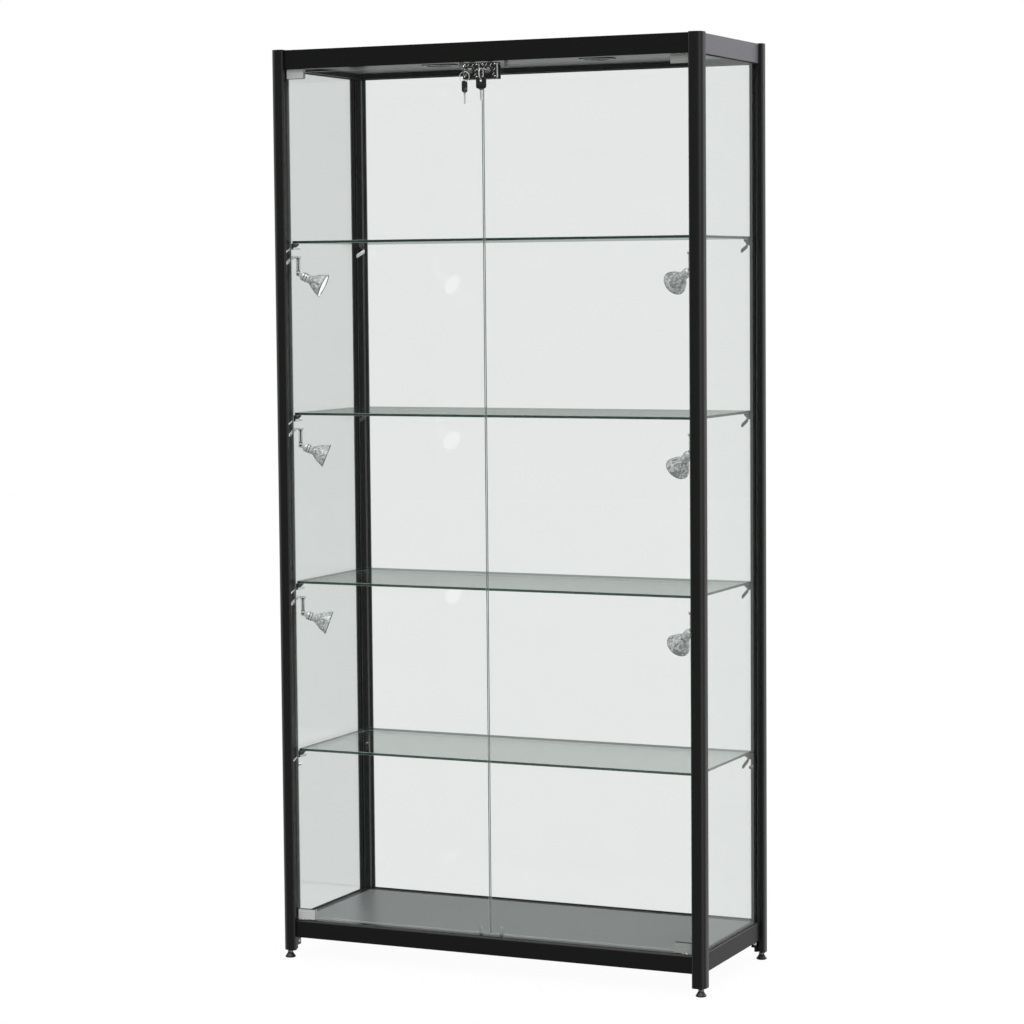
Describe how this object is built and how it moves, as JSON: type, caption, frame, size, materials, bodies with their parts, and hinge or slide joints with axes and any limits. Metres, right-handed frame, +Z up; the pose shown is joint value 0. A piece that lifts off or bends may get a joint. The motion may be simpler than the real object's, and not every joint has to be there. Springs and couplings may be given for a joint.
{
  "type": "display case",
  "caption": "Tall glazed display case: black aluminium frame, glass shelves, hinged locking glass doors, adjustable side spotlights, ceiling lights and levelling feet.",
  "frame": {"origin": "on the floor, under the middle of the whole outline with the keys included, so 23 mm in front of the middle of the frame", "axes": "+X to the right seen from the front, +Y towards the back, +Z up; the doors face -Y"},
  "size_m": [1, 0.4454, 2],
  "materials": {
    "black_aluminium": "satin black anodised",
    "clear_glass": "clear toughened glass",
    "shelf_glass": "clear float glass with a green edge",
    "grey_laminate": "satin grey laminate",
    "ceiling_sheet": "satin grey painted sheet",
    "chrome": "polished",
    "dark_chrome": "dark polished",
    "black_plastic": "moulded, matte",
    "lamp_glass": "faceted mirror-coated glass"
  },
  "bodies": {
    "case": {"post_front_left": "black_aluminium", "post_front_right": "black_aluminium", "post_back_left": "black_aluminium", "post_back_right": "black_aluminium", "rail_top_front": "black_aluminium", "rail_top_back": "black_aluminium", "rail_top_left": "black_aluminium", "rail_top_right": "black_aluminium", "rail_bottom_front": "black_aluminium", "rail_bottom_back": "black_aluminium", "rail_bottom_left": "black_aluminium", "rail_bottom_right": "black_aluminium", "ceiling_panel": "ceiling_sheet", "floor_panel": "grey_laminate", "back_glass": "clear_glass", "side_glass_left": "clear_glass", "side_glass_right": "clear_glass", "shelf_1": "shelf_glass", "shelf_2": "shelf_glass", "shelf_3": "shelf_glass", "shelf_4": "shelf_glass", "downlight_left": "black_plastic", "downlight_right": "black_plastic", "lighting_transformer": "black_plastic", "spot_bracket_left_upper": "chrome", "spot_bracket_left_middle": "chrome", "spot_bracket_left_lower": "chrome", "spot_bracket_right_upper": "chrome", "spot_bracket_right_middle": "chrome", "spot_bracket_right_lower": "chrome"},
    "door_left": {"door_glass_left": "clear_glass", "hinge_top_left": "chrome", "hinge_bottom_left": "chrome", "lock_case_left": "dark_chrome"},
    "lock_barrel_left": {"lock_barrel_left": "chrome"},
    "lock_bolt_left": {"lock_bolt_left": "chrome"},
    "spare_key_left": {"spare_key_left": "chrome"},
    "door_right": {"door_glass_right": "clear_glass", "hinge_top_right": "chrome", "hinge_bottom_right": "chrome", "lock_case_right": "dark_chrome"},
    "lock_barrel_right": {"lock_barrel_right": "chrome"},
    "lock_bolt_right": {"lock_bolt_right": "chrome"},
    "spare_key_right": {"spare_key_right": "chrome"},
    "spot_arm_left_upper": {"spot_arm_left_upper": "chrome"},
    "spot_head_left_upper": {"spot_head_left_upper": "lamp_glass"},
    "spot_arm_left_middle": {"spot_arm_left_middle": "chrome"},
    "spot_head_left_middle": {"spot_head_left_middle": "lamp_glass"},
    "spot_arm_left_lower": {"spot_arm_left_lower": "chrome"},
    "spot_head_left_lower": {"spot_head_left_lower": "lamp_glass"},
    "spot_arm_right_upper": {"spot_arm_right_upper": "chrome"},
    "spot_head_right_upper": {"spot_head_right_upper": "lamp_glass"},
    "spot_arm_right_middle": {"spot_arm_right_middle": "chrome"},
    "spot_head_right_middle": {"spot_head_right_middle": "lamp_glass"},
    "spot_arm_right_lower": {"spot_arm_right_lower": "chrome"},
    "spot_head_right_lower": {"spot_head_right_lower": "lamp_glass"},
    "foot_front_left": {"foot_front_left": "black_plastic"},
    "foot_front_right": {"foot_front_right": "black_plastic"},
    "foot_back_left": {"foot_back_left": "black_plastic"},
    "foot_back_right": {"foot_back_right": "black_plastic"}
  },
  "joints": [
    {"name": "door_left_hinge", "type": "hinge", "parent": "case", "child": "door_left", "pos_m": [-0.455, -0.157, 1], "axis": [0, 0, -1], "range_deg": [0, 105]},
    {"name": "lock_barrel_left_turn", "type": "hinge", "parent": "door_left", "child": "lock_barrel_left", "pos_m": [-0.021, -0.176, 1.937], "axis": [0, 1, 0], "range_deg": [0, 90]},
    {"name": "lock_bolt_left_slide", "type": "slide", "parent": "door_left", "child": "lock_bolt_left", "axis": [0, 0, 1], "range_m": [0, 0.006]},
    {"name": "spare_key_left_swing", "type": "hinge", "parent": "lock_barrel_left", "child": "spare_key_left", "pos_m": [-0.021, -0.2028, 1.9346], "axis": [1, 0, 0], "range_deg": [-50, 25]},
    {"name": "door_right_hinge", "type": "hinge", "parent": "case", "child": "door_right", "pos_m": [0.455, -0.157, 1], "axis": [0, 0, 1], "range_deg": [0, 105]},
    {"name": "lock_barrel_right_turn", "type": "hinge", "parent": "door_right", "child": "lock_barrel_right", "pos_m": [0.021, -0.176, 1.937], "axis": [0, -1, 0], "range_deg": [0, 90]},
    {"name": "lock_bolt_right_slide", "type": "slide", "parent": "door_right", "child": "lock_bolt_right", "axis": [0, 0, 1], "range_m": [0, 0.006]},
    {"name": "spare_key_right_swing", "type": "hinge", "parent": "lock_barrel_right", "child": "spare_key_right", "pos_m": [0.021, -0.21045, 1.9401], "axis": [0, 1, 0], "range_deg": [-20, 20]},
    {"name": "spot_arm_left_upper_swivel", "type": "hinge", "parent": "case", "child": "spot_arm_left_upper", "pos_m": [-0.459, -0.137, 1.55], "axis": [0, 0, 1], "range_deg": [-0.5, 57.5]},
    {"name": "spot_head_left_upper_tilt", "type": "hinge", "parent": "spot_arm_left_upper", "child": "spot_head_left_upper", "pos_m": [-0.459, -0.137, 1.515], "axis": [-0.3007, 0.9537, 0], "range_deg": [-25, 30]},
    {"name": "spot_arm_left_middle_swivel", "type": "hinge", "parent": "case", "child": "spot_arm_left_middle", "pos_m": [-0.459, -0.137, 1.174], "axis": [0, 0, 1], "range_deg": [-9.5, 48.5]},
    {"name": "spot_head_left_middle_tilt", "type": "hinge", "parent": "spot_arm_left_middle", "child": "spot_head_left_middle", "pos_m": [-0.459, -0.137, 1.139], "axis": [-0.4462, 0.8949, 0], "range_deg": [-22, 33]},
    {"name": "spot_arm_left_lower_swivel", "type": "hinge", "parent": "case", "child": "spot_arm_left_lower", "pos_m": [-0.459, -0.137, 0.802], "axis": [0, 0, 1], "range_deg": [-8.8, 49.2]},
    {"name": "spot_head_left_lower_tilt", "type": "hinge", "parent": "spot_arm_left_lower", "child": "spot_head_left_lower", "pos_m": [-0.459, -0.137, 0.767], "axis": [-0.4352, 0.9003, 0], "range_deg": [-20, 35]},
    {"name": "spot_arm_right_upper_swivel", "type": "hinge", "parent": "case", "child": "spot_arm_right_upper", "pos_m": [0.459, -0.137, 1.55], "axis": [0, 0, -1], "range_deg": [-15.5, 42.5]},
    {"name": "spot_head_right_upper_tilt", "type": "hinge", "parent": "spot_arm_right_upper", "child": "spot_head_right_upper", "pos_m": [0.459, -0.137, 1.515], "axis": [-0.5373, -0.8434, 0], "range_deg": [-25.8, 29.2]},
    {"name": "spot_arm_right_middle_swivel", "type": "hinge", "parent": "case", "child": "spot_arm_right_middle", "pos_m": [0.459, -0.137, 1.174], "axis": [0, 0, -1], "range_deg": [-16.2, 41.8]},
    {"name": "spot_head_right_middle_tilt", "type": "hinge", "parent": "spot_arm_right_middle", "child": "spot_head_right_middle", "pos_m": [0.459, -0.137, 1.139], "axis": [-0.5476, -0.8368, 0], "range_deg": [-37.4, 17.6]},
    {"name": "spot_arm_right_lower_swivel", "type": "hinge", "parent": "case", "child": "spot_arm_right_lower", "pos_m": [0.459, -0.137, 0.802], "axis": [0, 0, -1], "range_deg": [-16.2, 41.8]},
    {"name": "spot_head_right_lower_tilt", "type": "hinge", "parent": "spot_arm_right_lower", "child": "spot_head_right_lower", "pos_m": [0.459, -0.137, 0.767], "axis": [-0.5476, -0.8368, 0], "range_deg": [-37.3, 17.7]},
    {"name": "foot_front_left_screw", "type": "slide", "parent": "case", "child": "foot_front_left", "axis": [0, 0, -1], "range_m": [0, 0.012]},
    {"name": "foot_front_right_screw", "type": "slide", "parent": "case", "child": "foot_front_right", "axis": [0, 0, -1], "range_m": [0, 0.012]},
    {"name": "foot_back_left_screw", "type": "slide", "parent": "case", "child": "foot_back_left", "axis": [0, 0, -1], "range_m": [0, 0.012]},
    {"name": "foot_back_right_screw", "type": "slide", "parent": "case", "child": "foot_back_right", "axis": [0, 0, -1], "range_m": [0, 0.012]}
  ],
  "couplings": [
    {"joint": "lock_bolt_left_slide", "follows": "lock_barrel_left_turn", "m_per_rad": 0.003819},
    {"joint": "lock_bolt_right_slide", "follows": "lock_barrel_right_turn", "m_per_rad": 0.003819}
  ]
}
